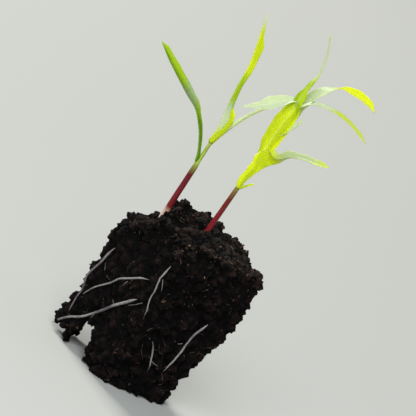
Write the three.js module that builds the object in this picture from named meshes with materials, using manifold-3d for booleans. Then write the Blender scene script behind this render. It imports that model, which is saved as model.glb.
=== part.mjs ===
// Two maize seedlings growing together from one tapered plug of compost.
//
// Millimetres, +Z up. The origin is the centre of the root ball's flat underside, and the ball's
// four sides face X and Y. A heading is an angle turned from +X towards +Y. A rise is an angle
// above level, so a rise of more than 90 degrees leans back over the foot.

import * as THREE from "three";
import Module from "manifold-3d";

const wasm = await Module();
wasm.setup();

// The root ball is a rounded square that narrows towards its foot.
const BALL_HEIGHT = 67;
const BALL_TOP_WIDTH = 48;
const BALL_FOOT_WIDTH = 43;
const BALL_SQUARENESS = 7;
const BALL_SIDES = 52;
const LUMPS = [
  { across: 13, height: 1.6 },
  { across: 5.5, height: 1.0 },
];

// The corner towards -X and -Y is worn away at its shoulder and crumbled through at its foot.
// Distances from the axis are towards that corner. Past "from" the top steps down and then slopes,
// and the underside rises. The undercut is a rough tunnel across the corner, half of it below the
// ground, that leaves a spur of soil outside it.
const WORN_CORNER = radians(225);
const SHOULDER = { from: 16.4, step: 5.5, stepWidth: 1.6, slope: 0.8 };
const WORN_FOOT = { from: 19.5, width: 2.5, height: 3 };
const UNDERCUT = { from: 15, halfWidth: 4.8, height: 12.5, halfLength: 36 };
const UNDERCUT_SIDES = 12;
const UNDERCUT_ROUGHNESS = { share: 0.25, around: 3 };

// Soil heaped between the stems, and what sticks out past the plain outline at two corners: the
// spur at the worn foot, and a clod opposite it.
const MOUNDS = [
  { at: [-11.8, -5.4], radius: 10.5, height: 7.6 },
  { at: [6.5, -4.5], radius: 11, height: 4 },
];
const BULGES = [
  { corner: 225, reach: 3.5, halfAngle: 16, height: 0, halfHeight: 20 },
  { corner: 45, reach: 3.6, halfAngle: 24, height: 50, halfHeight: 26 },
];

// The ball's rings, as shares of the way out from its axis below and above, and levels between
// them. Its lumps lift the top as well, from a level upwards.
const FOOT_SHARES = [0.02, 0.3, 0.55, 0.75, 0.9, 0.97];
const SIDE = { from: 0.02, to: 0.97, rows: 14 };
const TOP_SHARES = [0.97, 0.9, 0.8, 0.7, 0.6, 0.5, 0.38, 0.25, 0.02];
const LIFT_FROM = 0.85;

// Pale roots lie on the faces of the ball. Each starts at a place along its face and a height, and
// runs from one slant to the other: 0 is level towards the face's right, 90 is straight down.
const ROOT_SIDES = 6;
const ROOT_TAPER = 0.4;
const ROOT_CORNER_SHARE = 0.985;
const SURFACE_ROOTS = [
  { face: 270, along: -16, height: 42, slants: [94, 82], length: 33, radius: 0.5 },
  { face: 270, along: 13, height: 44, slants: [152, 122], length: 38, radius: 0.45 },
  { face: 270, along: 14.3, height: 35.4, slants: [131, 139], length: 49, radius: 0.65 },
  { face: 0, along: -22.2, height: 55, slants: [90, 76], length: 24, radius: 0.4 },
  { face: 0, along: -8.5, height: 24, slants: [52, 66], length: 15, radius: 0.4 },
  { face: 0, along: 10, height: 40, slants: [116, 70], length: 28, radius: 0.5 },
  { face: 90, along: -9, height: 47, slants: [62, 112], length: 38, radius: 0.5 },
  { face: 90, along: 13, height: 39, slants: [118, 92], length: 31, radius: 0.45 },
  { face: 180, along: 3, height: 50, slants: [68, 98], length: 40, radius: 0.6 },
  { face: 180, along: -14, height: 33, slants: [74, 40], length: 27, radius: 0.45 },
];

// Stems stand in sockets in the ball, this much clear of them, as leaves are of what they touch.
const CLEAR = 0.3;
const SLIVER = 0.03;
const BLADE_THICKNESS = 0.6;
const STEM_SIDES = 10;
const STEP = 3;
const LEAST_STEPS = 4;
const POINTS_EACH_HALF = 3;
const FLAT_CURL = 0.01;

// A stem's radius and rise, like all the lists of pairs below, are given at distances along it.
const LEFT_STEM = {
  foot: [-10.1, -13.8, 61],
  heading: 47,
  length: 44,
  rise: [[0, 90], [14, 92], [44, 91]],
  radius: [[0, 1.0], [3, 1.25], [26, 1.15], [30, 0.8], [44, 0.6]],
};
const RIGHT_STEM = {
  foot: [0.8, 0.7, 64],
  heading: 47,
  length: 66,
  rise: [[0, 90]],
  radius: [[0, 1.0], [4, 1.1], [24, 1.0], [28, 0.75], [66, 0.5]],
};

// A leaf leaves its stem at a distance along it. Fold lifts the two halves off the midrib, curl
// rolls them further towards their margins, and twist turns the blade about its midrib.
const LEFT_LEAVES = [
  {
    name: "left_rolled_leaf", at: 38, out: 1.2, heading: 247, length: 19,
    rise: [[0, 84], [3, 108], [10, 92], [14, 66], [19, 100]],
    width: [[0, 5], [6, 5.4], [14, 6], [19, 1.2]], fold: [[0, 0]],
    curl: [[0, 130], [14, 120], [19, 60]],
  },
  {
    name: "left_upright_leaf", at: 38, out: 1.6, heading: 250, length: 58,
    rise: [[0, 100], [10, 78], [22, 81], [30, 86], [40, 74], [58, 72]],
    width: [[0, 5], [8, 7], [16, 4.6], [26, 3.8], [36, 5], [44, 6.7], [50, 3.2], [58, 0.9]],
    fold: [[0, 60], [58, 45]], curl: [[0, 40], [58, 10]], twist: [[0, 0], [58, -10]],
  },
  {
    name: "left_narrow_leaf", at: 39, out: 0.8, heading: 67, length: 25,
    rise: [[0, 72], [10, 70], [20, 60], [25, 48]], width: [[0, 1.6], [10, 3], [22, 2.6], [25, 0.8]],
    fold: [[0, 40], [25, 30]], curl: [[0, 30], [25, 0]],
  },
  {
    name: "left_first_leaf", at: 28, out: 1.4, heading: 247, length: 55,
    rise: [[0, 83], [6, 61], [19, 47], [26, 24], [33, 30], [41, 30], [55, 38]],
    width: [[0, 4], [4, 2.6], [19, 4], [26, 6.8], [32, 7.5], [41, 6.8], [50, 5], [55, 0.8]],
    fold: [[0, 35], [20, 40], [55, 38]], curl: [[0, 100], [6, 20], [55, 10]],
    twist: [[0, 0], [20, -8], [55, -22]],
  },
];
const RIGHT_LEAVES = [
  {
    name: "right_rolled_leaf", at: 40, out: 1.3, heading: 317, length: 60,
    rise: [[0, 86], [30, 93], [38, 108], [44, 78], [60, 58]], turn: [[0, 0], [34, 0], [42, -60]],
    width: [[0, 5], [4, 6.5], [8, 11.2], [18, 12.6], [22, 10.8], [30, 5.7], [35, 2.2], [60, 1.4]],
    fold: [[0, 0]], curl: [[0, 130], [6, 92], [30, 84], [36, 30], [60, 20]],
  },
  {
    name: "right_drooping_leaf", at: 47, out: 0, heading: 205, length: 45,
    rise: [[0, 62], [4, 82], [9, 96], [17, 108], [20, 74], [23, -19], [29, -41], [45, -27]],
    turn: [[0, 0], [15, 0], [23, 55]],
    width: [[0, 1.6], [15, 3], [24, 3.6], [29, 5.6], [33, 6.6], [38, 3.4], [45, 1]],
    fold: [[0, 20]], curl: [[0, 20]], twist: [[0, 0], [20, 0], [28, -45], [45, -35]],
  },
  {
    name: "right_arching_leaf", at: 54, out: 0, heading: 82, length: 53,
    rise: [[0, 44], [12, 92], [18, 72], [24, 55], [30, 36], [36, 2], [42, -5], [53, -31]],
    width: [[0, 1.4], [12, 2.6], [17, 7.2], [24, 6.8], [31, 6.4], [38, 6], [46, 4.1], [53, 0.8]],
    fold: [[0, 25], [20, 20], [30, 6]], curl: [[0, 20], [30, 8]],
    twist: [[0, 0], [23, 0], [33, -30], [40, -45]],
  },
  {
    name: "right_lower_arching_leaf", at: 63.5, out: 0, heading: 45, length: 36,
    rise: [[0, 59], [6, 56], [11, 20], [18, 6], [25, -7], [29, -16], [36, -18]],
    width: [[0, 1.2], [12, 3.6], [20, 3.8], [31, 3.2], [36, 1]], fold: [[0, 15]], curl: [[0, 10]],
    twist: [[0, 0], [8, 15]],
  },
  {
    name: "right_small_leaf", at: 50, out: 0, heading: 40, length: 15,
    rise: [[0, 56], [15, 74]], width: [[0, 1], [9, 4], [15, 1.2]], fold: [[0, 20]], curl: [[0, 10]],
    twist: [[0, 35]],
  },
  {
    name: "right_first_leaf", at: 26, out: 1.4, heading: 27, length: 43,
    rise: [[0, 104], [6, 72], [12, 66], [18, 48], [22, 70], [27, 32], [34, 17], [43, 21]],
    width: [[0, 5], [6, 6.8], [10, 9], [14, 13.4], [19, 13], [22, 7], [30, 4.2], [38, 3.6], [43, 1]],
    fold: [[0, 10], [8, 40], [16, 60], [24, 25], [43, 20]],
    curl: [[0, 120], [8, 50], [16, 25], [43, 10]], twist: [[0, 0], [17, 0], [24, 35], [43, 40]],
  },
  {
    name: "right_seed_sheath", at: 26, out: 1.1, heading: 30, length: 7,
    rise: [[0, 62], [7, 46]], width: [[0, 1.6], [4, 2], [7, 0.9]], fold: [[0, 0]], curl: [[0, 60]],
  },
];

const LOOKS = {
  soil: { color: 0x1e140e, roughness: 0.95, metalness: 0 },
  stem: { color: 0x7a1c26, roughness: 0.45, metalness: 0 },
  leaf: { color: 0x8fae2c, roughness: 0.4, metalness: 0 },
};

function radians(degrees) {
  return THREE.MathUtils.degToRad(degrees);
}

function between(pairs, distance) {
  const next = pairs.findIndex((pair) => pair[0] > distance);
  if (next === 0) {
    return pairs[0][1];
  }
  if (next < 0) {
    return pairs[pairs.length - 1][1];
  }
  const [start, startValue] = pairs[next - 1];
  const [end, endValue] = pairs[next];
  const share = THREE.MathUtils.smoothstep(distance, start, end);
  return THREE.MathUtils.lerp(startValue, endValue, share);
}

// A fixed value from 0 to 1 for each corner of a unit grid, and the smooth noise between them. The
// weights are large and share no measure, so that the fraction of the sum looks random.
const CORNER_WEIGHTS = [127.1, 311.7, 74.7];
const CORNER_SPREAD = 43758.5453;

function cornerValue(i, j, k) {
  const [a, b, c] = CORNER_WEIGHTS;
  const wave = Math.sin(i * a + j * b + k * c) * CORNER_SPREAD;
  return wave - Math.floor(wave);
}

function noise(x, y, z) {
  const [i, j, k] = [x, y, z].map(Math.floor);
  const [u, v, w] = [x - i, y - j, z - k].map((share) => share * share * (3 - 2 * share));
  let total = 0;
  for (const [a, b, c] of [[0, 0, 0], [1, 0, 0], [0, 1, 0], [1, 1, 0],
    [0, 0, 1], [1, 0, 1], [0, 1, 1], [1, 1, 1]]) {
    const weight = (a ? u : 1 - u) * (b ? v : 1 - v) * (c ? w : 1 - w);
    total += weight * cornerValue(i + a, j + b, k + c);
  }
  return 2 * total - 1;
}

function lumpAt(x, y, z) {
  let height = 0;
  for (const lump of LUMPS) {
    height += lump.height * noise(x / lump.across, y / lump.across, z / lump.across);
  }
  return height;
}

// A closed solid through rings of points, each ring anticlockwise seen from the next one.
function solidThrough(rings) {
  const count = rings[0].length;
  const points = rings.flat();
  const triangles = [];
  for (let ring = 0; ring + 1 < rings.length; ring += 1) {
    for (let side = 0; side < count; side += 1) {
      const a = ring * count + side;
      const b = ring * count + (side + 1) % count;
      triangles.push(a, b, b + count, a, b + count, a + count);
    }
  }
  const ends = [[rings[0], 0, true], [rings.at(-1), (rings.length - 1) * count, false]];
  for (const [ring, first, isStart] of ends) {
    const middle = new THREE.Vector3();
    ring.forEach((point) => middle.addScaledVector(point, 1 / count));
    points.push(middle);
    for (let side = 0; side < count; side += 1) {
      const a = first + side;
      const b = first + (side + 1) % count;
      triangles.push(points.length - 1, isStart ? b : a, isStart ? a : b);
    }
  }
  return new wasm.Manifold(new wasm.Mesh({
    numProp: 3,
    vertProperties: new Float32Array(points.flatMap((point) => point.toArray())),
    triVerts: new Uint32Array(triangles),
  }));
}

function headingAt(shape, distance) {
  return radians(shape.heading + (shape.turn ? between(shape.turn, distance) : 0));
}

function onwardAt(shape, distance) {
  const heading = headingAt(shape, distance);
  const rise = radians(between(shape.rise, distance));
  return new THREE.Vector3(
    Math.cos(rise) * Math.cos(heading), Math.cos(rise) * Math.sin(heading), Math.sin(rise));
}

// The frames along a midrib or an axis: a point, the way on, the side and the upper face.
function spine(shape, start, before = 0, after = 0) {
  const steps = Math.max(LEAST_STEPS, Math.round(shape.length / STEP));
  const stride = shape.length / steps;
  const point = start.clone();
  const frames = [];
  for (let step = 0; step <= steps; step += 1) {
    const distance = stride * step;
    const heading = headingAt(shape, distance);
    const onward = onwardAt(shape, distance);
    const level = new THREE.Vector3(-Math.sin(heading), Math.cos(heading), 0);
    const twist = shape.twist ? radians(between(shape.twist, distance)) : 0;
    const side = level.applyAxisAngle(onward, twist);
    const upper = new THREE.Vector3().crossVectors(onward, side);
    frames.push({ distance, point: point.clone(), onward, side, upper });
    point.addScaledVector(onwardAt(shape, distance + stride / 2), stride);
  }
  frames[0].point.addScaledVector(frames[0].onward, -before);
  frames.at(-1).point.addScaledVector(frames.at(-1).onward, after);
  return frames;
}

function limb(shape, grow = 0) {
  const rings = spine(shape, new THREE.Vector3(...shape.foot), grow, grow).map((frame) => {
    const radius = between(shape.radius, frame.distance) + grow;
    return Array.from({ length: STEM_SIDES }, (_, side) => {
      const angle = 2 * Math.PI * side / STEM_SIDES;
      return frame.point.clone()
        .addScaledVector(frame.side, radius * Math.cos(angle))
        .addScaledVector(frame.upper, radius * Math.sin(angle));
    });
  });
  return solidThrough(rings);
}

// A point of the blade's section, at a share of the half width from the midrib, and its normal.
function sectionPoint(share, halfWidth, fold, curl) {
  const angle = fold + curl * share;
  if (curl < FLAT_CURL) {
    return { out: halfWidth * share * Math.cos(fold), up: halfWidth * share * Math.sin(fold), angle };
  }
  const bend = halfWidth / curl;
  const out = bend * (Math.sin(angle) - Math.sin(fold));
  const up = bend * (Math.cos(fold) - Math.cos(angle));
  return { out, up, angle };
}

function bladeRing(leaf, frame, grow) {
  const halfWidth = between(leaf.width, frame.distance) / 2 + grow;
  const fold = radians(between(leaf.fold, frame.distance));
  const curl = radians(between(leaf.curl, frame.distance));
  const half = BLADE_THICKNESS / 2 + grow;
  const place = (step, face) => {
    const hand = Math.sign(step);
    const { out, up, angle } = sectionPoint(Math.abs(step) / POINTS_EACH_HALF, halfWidth, fold, curl);
    const normalOut = step === 0 ? 0 : -Math.sin(angle) * hand;
    const normalUp = step === 0 ? 1 : Math.cos(angle);
    return frame.point.clone()
      .addScaledVector(frame.side, out * hand + face * half * normalOut)
      .addScaledVector(frame.upper, up + face * half * normalUp);
  };
  const steps = Array.from({ length: 2 * POINTS_EACH_HALF + 1 }, (_, i) => POINTS_EACH_HALF - i);
  return [...steps.map((step) => place(step, 1)), ...steps.reverse().map((step) => place(step, -1))];
}

function blade(leaf, start, grow = 0) {
  return solidThrough(spine(leaf, start, grow, grow).map((frame) => bladeRing(leaf, frame, grow)));
}

// The main piece of a cut solid, without the slivers that the cut left along its edges.
function largestPiece(solid) {
  const pieces = solid.simplify(SLIVER).decompose();
  pieces.sort((a, b) => b.volume() - a.volume());
  return pieces[0];
}

function leafStart(stem, leaf) {
  const below = { ...stem, length: leaf.at };
  const heading = radians(leaf.heading);
  const outward = new THREE.Vector3(Math.cos(heading), Math.sin(heading), 0);
  return spine(below, new THREE.Vector3(...stem.foot)).at(-1).point.addScaledVector(outward, leaf.out);
}

// The plan of the ball: how far its outline lies from the axis in a direction.
function outlineReach(angle, halfWidth) {
  const power = BALL_SQUARENESS;
  const sum = Math.abs(Math.cos(angle)) ** power + Math.abs(Math.sin(angle)) ** power;
  return halfWidth / sum ** (1 / power);
}

function towardsWornCorner(x, y) {
  return -(x + y) / Math.SQRT2;
}

function topHeight(x, y) {
  const reach = towardsWornCorner(x, y);
  const step = THREE.MathUtils.smoothstep(reach, SHOULDER.from, SHOULDER.from + SHOULDER.stepWidth);
  const below = SHOULDER.slope * Math.max(0, reach - SHOULDER.from - SHOULDER.stepWidth);
  let mound = 0;
  for (const { at, radius, height } of MOUNDS) {
    mound += height * (1 - THREE.MathUtils.smoothstep(Math.hypot(x - at[0], y - at[1]), 0, radius));
  }
  return BALL_HEIGHT + mound * (1 - step) - SHOULDER.step * step - below;
}

function footHeight(x, y) {
  const { from, width, height } = WORN_FOOT;
  return height * THREE.MathUtils.smoothstep(towardsWornCorner(x, y), from, from + width);
}

function ballHalfWidth(level) {
  return THREE.MathUtils.lerp(BALL_FOOT_WIDTH, BALL_TOP_WIDTH, level) / 2;
}

// How far the bulges at the corners stick out past the plain outline.
function bulgeReach(angle, level) {
  let total = 0;
  for (const { corner, reach, halfAngle, height, halfHeight } of BULGES) {
    const off = angle - radians(corner);
    const offCorner = Math.abs(Math.atan2(Math.sin(off), Math.cos(off)));
    const offHeight = Math.abs(level * BALL_HEIGHT - height);
    const inAngle = 1 - THREE.MathUtils.smoothstep(offCorner, 0, radians(halfAngle));
    total += reach * inAngle * (1 - THREE.MathUtils.smoothstep(offHeight, 0, halfHeight));
  }
  return total;
}

function ballPoint(angle, share, level) {
  const reach = (outlineReach(angle, ballHalfWidth(level)) + bulgeReach(angle, level)) * share;
  const x = reach * Math.cos(angle);
  const y = reach * Math.sin(angle);
  const height = THREE.MathUtils.lerp(footHeight(x, y), topHeight(x, y), level);
  const lump = lumpAt(x, y, height);
  const swell = 1 + lump * share / ballHalfWidth(level);
  const lift = lump * THREE.MathUtils.smoothstep(level, LIFT_FROM, 1);
  return new THREE.Vector3(x * swell, y * swell, height + lift);
}

function plainBall() {
  const stations = FOOT_SHARES.map((share) => [share, 0]);
  for (let row = 0; row <= SIDE.rows; row += 1) {
    stations.push([1, THREE.MathUtils.lerp(SIDE.from, SIDE.to, row / SIDE.rows)]);
  }
  stations.push(...TOP_SHARES.map((share) => [share, 1]));
  return solidThrough(stations.map(([share, level]) => {
    return Array.from({ length: BALL_SIDES }, (_, side) => {
      return ballPoint(2 * Math.PI * side / BALL_SIDES, share, level);
    });
  }));
}

// A tunnel across the worn corner that takes the crumbled hole out of its foot.
function undercut() {
  const outward = new THREE.Vector3(Math.cos(WORN_CORNER), Math.sin(WORN_CORNER), 0);
  const across = new THREE.Vector3(outward.y, -outward.x, 0);
  const { share, around } = UNDERCUT_ROUGHNESS;
  const rings = [];
  for (let along = -UNDERCUT.halfLength; along <= UNDERCUT.halfLength; along += STEP) {
    rings.push(Array.from({ length: UNDERCUT_SIDES }, (_, side) => {
      const angle = 2 * Math.PI * side / UNDERCUT_SIDES;
      const lump = noise(along / STEP, around * Math.cos(angle), around * Math.sin(angle));
      const size = 1 + share * lump;
      return new THREE.Vector3()
        .addScaledVector(across, along)
        .addScaledVector(outward, UNDERCUT.from + UNDERCUT.halfWidth * size * Math.cos(angle))
        .setZ(UNDERCUT.height * size * Math.sin(angle));
    }));
  }
  return solidThrough(rings);
}

// A point on one face of the ball, at a place along the face and a height.
function facePoint(face, along, height) {
  const outward = radians(face);
  const level = height / BALL_HEIGHT;
  const halfWidth = ballHalfWidth(level);
  const share = Math.min(Math.abs(along) / halfWidth, ROOT_CORNER_SHARE);
  const out = halfWidth * (1 - share ** BALL_SQUARENESS) ** (1 / BALL_SQUARENESS);
  const x = out * Math.cos(outward) - along * Math.sin(outward);
  const y = out * Math.sin(outward) + along * Math.cos(outward);
  const swell = 1 + lumpAt(x, y, height) / halfWidth;
  return new THREE.Vector3(x * swell, y * swell, height);
}

function surfaceRoot(root) {
  const steps = Math.round(root.length / STEP);
  const outward = new THREE.Vector3(Math.cos(radians(root.face)), Math.sin(radians(root.face)), 0);
  const points = [];
  let { along, height } = root;
  for (let step = 0; step <= steps; step += 1) {
    points.push(facePoint(root.face, along, height));
    const slant = radians(THREE.MathUtils.lerp(root.slants[0], root.slants[1], step / steps));
    along += root.length / steps * Math.cos(slant);
    height -= root.length / steps * Math.sin(slant);
  }
  const rings = points.map((point, step) => {
    const last = points[Math.max(0, step - 1)];
    const next = points[Math.min(steps, step + 1)];
    const onward = next.clone().sub(last).normalize();
    const side = new THREE.Vector3().crossVectors(outward, onward).normalize();
    const up = new THREE.Vector3().crossVectors(onward, side);
    const radius = root.radius * (1 - ROOT_TAPER * step / steps);
    return Array.from({ length: ROOT_SIDES }, (_, corner) => {
      const angle = 2 * Math.PI * corner / ROOT_SIDES;
      return point.clone()
        .addScaledVector(side, radius * Math.cos(angle))
        .addScaledVector(up, radius * Math.sin(angle));
    });
  });
  return solidThrough(rings);
}

function rootBall(stems) {
  let ball = plainBall().subtract(undercut());
  for (const root of SURFACE_ROOTS) {
    ball = ball.add(surfaceRoot(root));
  }
  for (const stem of stems) {
    ball = ball.subtract(limb(stem, CLEAR));
  }
  return largestPiece(ball);
}

function meshOf(name, solid, look) {
  const data = solid.getMesh();
  const geometry = new THREE.BufferGeometry();
  geometry.setAttribute("position", new THREE.BufferAttribute(data.vertProperties, 3));
  geometry.setIndex(new THREE.BufferAttribute(data.triVerts, 1));
  geometry.computeVertexNormals();
  const mesh = new THREE.Mesh(geometry, new THREE.MeshStandardMaterial(look));
  mesh.name = name;
  return mesh;
}

// Every leaf is cut clear of the stems and of the leaves made before it.
function leafMeshes(plants) {
  const taken = plants.map((plant) => limb(plant.stem, CLEAR));
  const meshes = [];
  for (const { stem, leaves } of plants) {
    for (const leaf of leaves) {
      const start = leafStart(stem, leaf);
      let solid = blade(leaf, start);
      for (const other of taken) {
        solid = solid.subtract(other);
      }
      meshes.push(meshOf(leaf.name, largestPiece(solid), LOOKS.leaf));
      taken.push(blade(leaf, start, CLEAR));
    }
  }
  return meshes;
}

const plants = [
  { stem: LEFT_STEM, leaves: LEFT_LEAVES },
  { stem: RIGHT_STEM, leaves: RIGHT_LEAVES },
];
const maize = new THREE.Group();
maize.add(meshOf("root_ball", rootBall([LEFT_STEM, RIGHT_STEM]), LOOKS.soil));
maize.add(meshOf("left_stem", limb(LEFT_STEM), LOOKS.stem));
maize.add(meshOf("right_stem", limb(RIGHT_STEM), LOOKS.stem));
maize.add(...leafMeshes(plants));

export default maize;
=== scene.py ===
"""Looks of a maize plug plant: two seedlings that grow from one tapered block of compost.

Sizes are millimetres and degrees until a mesh is made, which is in metres. A heading is an angle
turned from +X towards +Y, and a rise is an angle above level. Blades, stems, ball and roots follow
the rules of the part's solids, in finer steps.
"""
import bisect
import itertools
import math
from functools import partial

import bpy
import numpy as np
from mathutils import Matrix, Vector
from mathutils.bvhtree import BVHTree


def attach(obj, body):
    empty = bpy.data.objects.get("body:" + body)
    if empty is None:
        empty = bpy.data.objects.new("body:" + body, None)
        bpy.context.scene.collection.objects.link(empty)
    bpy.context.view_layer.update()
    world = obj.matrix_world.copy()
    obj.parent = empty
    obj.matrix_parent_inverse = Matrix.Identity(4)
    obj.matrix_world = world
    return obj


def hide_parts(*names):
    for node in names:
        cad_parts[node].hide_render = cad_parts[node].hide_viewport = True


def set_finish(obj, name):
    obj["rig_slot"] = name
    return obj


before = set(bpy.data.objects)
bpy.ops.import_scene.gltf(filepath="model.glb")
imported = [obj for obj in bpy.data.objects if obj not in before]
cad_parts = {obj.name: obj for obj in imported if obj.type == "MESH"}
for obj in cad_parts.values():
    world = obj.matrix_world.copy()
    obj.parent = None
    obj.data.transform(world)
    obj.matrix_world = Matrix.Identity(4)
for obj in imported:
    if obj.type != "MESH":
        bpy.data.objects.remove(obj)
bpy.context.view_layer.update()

MM = 0.001

# The root ball is a rounded square that narrows towards its foot. A lump has a width and a height.
BALL_HEIGHT = 67
BALL_TOP_WIDTH = 48
BALL_FOOT_WIDTH = 43
BALL_SQUARENESS = 7
LUMPS = [(13, 1.6), (5.5, 1.0)]
LIFT_FROM = 0.85

# One corner is worn away at its shoulder and crumbled through at its foot
WORN_CORNER = math.radians(225)
SHOULDER_FROM, SHOULDER_STEP, SHOULDER_STEP_WIDTH, SHOULDER_SLOPE = 16.4, 5.5, 1.6, 0.8
WORN_FOOT_FROM, WORN_FOOT_WIDTH, WORN_FOOT_HEIGHT = 19.5, 2.5, 3
UNDERCUT = {"from": 15, "half_width": 4.8, "height": 12.5, "half_length": 36, "roughness": 0.25,
            "rough_length": 3, "rough_around": 3}

# Soil heaped round the stems: where, its radius and its height
MOUNDS = [(-11.8, -5.4, 10.5, 7.6), (6.5, -4.5, 11, 4)]
# Bulges at two corners: heading, reach, half of their angle, where they are on the ball's height,
# and how far they go up and down from there
BULGES = [(225, 3.5, 16, 0, 20), (45, 3.6, 24, 50, 26)]

# Pale roots on the ball's faces: the face's heading, how far along it and how high each starts,
# the slants that it runs from and to, its length and its radius
SURFACE_ROOTS = [
    (270, -15.3, 42, (93, 83), 33, 0.5),
    (270, 13, 44, (152, 122), 38, 0.45),
    (270, 14.3, 35.4, (131, 139), 49, 0.65),
    (0, -22.2, 55, (90, 76), 24, 0.4),
    (0, -8.5, 24, (52, 66), 15, 0.4),
    (0, 10, 40, (116, 70), 28, 0.5),
    (90, -9, 47, (62, 112), 38, 0.5),
    (90, 13, 39, (118, 92), 31, 0.45),
    (180, 3, 50, (68, 98), 40, 0.6),
    (180, -14, 33, (74, 40), 27, 0.45),
]
ROOT_TAPER = 0.4
ROOT_CORNER_SHARE = 0.985
ROOT_WANDER, WANDER_LENGTH = 4, 7.0
ROOT_SINK = 0.35
ROOT_TIP_STEPS = 6
LOWEST_ROOT = 0.6

# Thin side roots leave a root by steps: where the first one is, on each root in turn, how far
# apart they are, and how near its end the last one may be. The pairs are ranges to draw from.
SIDE_ROOT_FIRST, SIDE_ROOT_EVERY, SIDE_ROOT_CLEAR = (9, 13, 17), 17, 8
SIDE_ROOT_SLANT, SIDE_ROOT_LENGTH = (25, 45), (3, 7)
SIDE_ROOT_CURVE, SIDE_ROOT_WANDER = 10, 20
SIDE_ROOT_RADIUS, SIDE_ROOT_SINK = 0.12, 0.08

# A root is laid on the compost: it bridges creases, and dives into them at both ends
SEARCH_DEPTH = 6
BRIDGE_STEPS = 4
DIVE_STEPS, DIVE_DEPTH = 5, 0.7

# Threads on the compost, with ends that stand off it. One with a sharper bend is left out.
FIBRE_COUNT, FIBRE_STEPS = 170, 8
FIBRE_LENGTH, FIBRE_LOOSE, FIBRE_RADIUS = (3, 9), (0.1, 1.3), (0.06, 0.14)
FIBRE_BEND = 0.2
FIBRE_SINK_SHARE = 0.15
LOWEST_FIBRE = 0.15
LEAST_BEND_COSINE = 0.3
THREAD_TIP_SHARE = 0.5

# A stem's colours are given by the share of the way up
LEFT_STEM = {
    "name": "left_stem", "foot": (-10.1, -13.8, 61), "heading": 47, "length": 44,
    "rise": [(0, 90), (14, 92), (44, 91)],
    "radius": [(0, 1.0), (3, 1.25), (26, 1.15), (30, 0.8), (44, 0.6)],
    "colours": [(0.0, "#dccbbd"), (0.11, "#cdb09c"), (0.17, "#72101b"), (0.52, "#5f0b14"),
                (0.59, "#7f8434"), (0.64, "#98b040")],
}
RIGHT_STEM = {
    "name": "right_stem", "foot": (0.8, 0.7, 64), "heading": 47, "length": 66,
    "rise": [(0, 90)],
    "radius": [(0, 1.0), (4, 1.1), (24, 1.0), (28, 0.75), (66, 0.5)],
    "colours": [(0.0, "#84121f"), (0.12, "#7c101c"), (0.3, "#661814"), (0.37, "#7c6a2e"),
                (0.44, "#98b040")],
}
STEM_ROOTED = 3
STEM_TIP_SHARE = 0.3

# Fold lifts the two halves of a blade off its midrib, curl rolls them further towards their
# margins, and twist turns the blade about its midrib. Round is how much of the tip is rounded off.
# The pale lengths are a wax bloom and painted sheen of reflected light, in a pale colour that is
# darker on some leaves, where the sheen is less bright. Green is the lengths painted darker and
# greener. A leaf is like the plain one in what it doesn't give.
PLAIN_LEAF = {"out": 0, "fold": [(0, 0)], "round": 2, "tint": "sunlit", "wax_and_sheen": [],
              "wax_and_sheen_colour": "#c6d3cc", "green": []}
LEFT_LEAVES = [{
    "name": "left_rolled_leaf", "at": 38, "out": 1.2, "heading": 247, "length": 19,
    "rise": [(0, 84), (3, 108), (10, 92), (14, 66), (19, 100)],
    "width": [(0, 5), (6, 5.4), (14, 6), (19, 1.2)],
    "curl": [(0, 130), (14, 120), (19, 60)], "round": 3,
}, {
    "name": "left_upright_leaf", "at": 38, "out": 1.6, "heading": 250, "length": 58,
    "rise": [(0, 100), (10, 78), (22, 81), (30, 86), (40, 74), (58, 72)],
    "width": [(0, 5), (8, 7), (16, 4.6), (26, 3.8), (36, 5), (44, 6.7), (50, 3.2), (58, 0.9)],
    "fold": [(0, 60), (58, 45)], "curl": [(0, 40), (58, 10)], "twist": [(0, 0), (58, -10)],
    "wax_and_sheen": [(6, 18), (52, 62)], "green": [(14, 31)],
}, {
    "name": "left_narrow_leaf", "at": 39, "out": 0.8, "heading": 67, "length": 25,
    "rise": [(0, 72), (10, 70), (20, 60), (25, 48)],
    "width": [(0, 1.6), (10, 3), (22, 2.6), (25, 0.8)],
    "fold": [(0, 40), (25, 30)], "curl": [(0, 30), (25, 0)], "wax_and_sheen": [(0, 25)],
}, {
    "name": "left_first_leaf", "at": 28, "out": 1.4, "heading": 247, "length": 55,
    "rise": [(0, 83), (6, 61), (19, 47), (26, 24), (33, 30), (41, 30), (55, 38)],
    "width": [(0, 4), (4, 2.6), (19, 4), (26, 6.8), (32, 7.5), (41, 6.8), (50, 5), (55, 0.8)],
    "fold": [(0, 35), (20, 40), (55, 38)], "curl": [(0, 100), (6, 20), (55, 10)],
    "twist": [(0, 0), (20, -8), (55, -22)], "round": 4,
    "tint": "grown", "wax_and_sheen": [(24, 34)], "wax_and_sheen_colour": "#9cb091", "green": [(0, 19)],
}]
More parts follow.
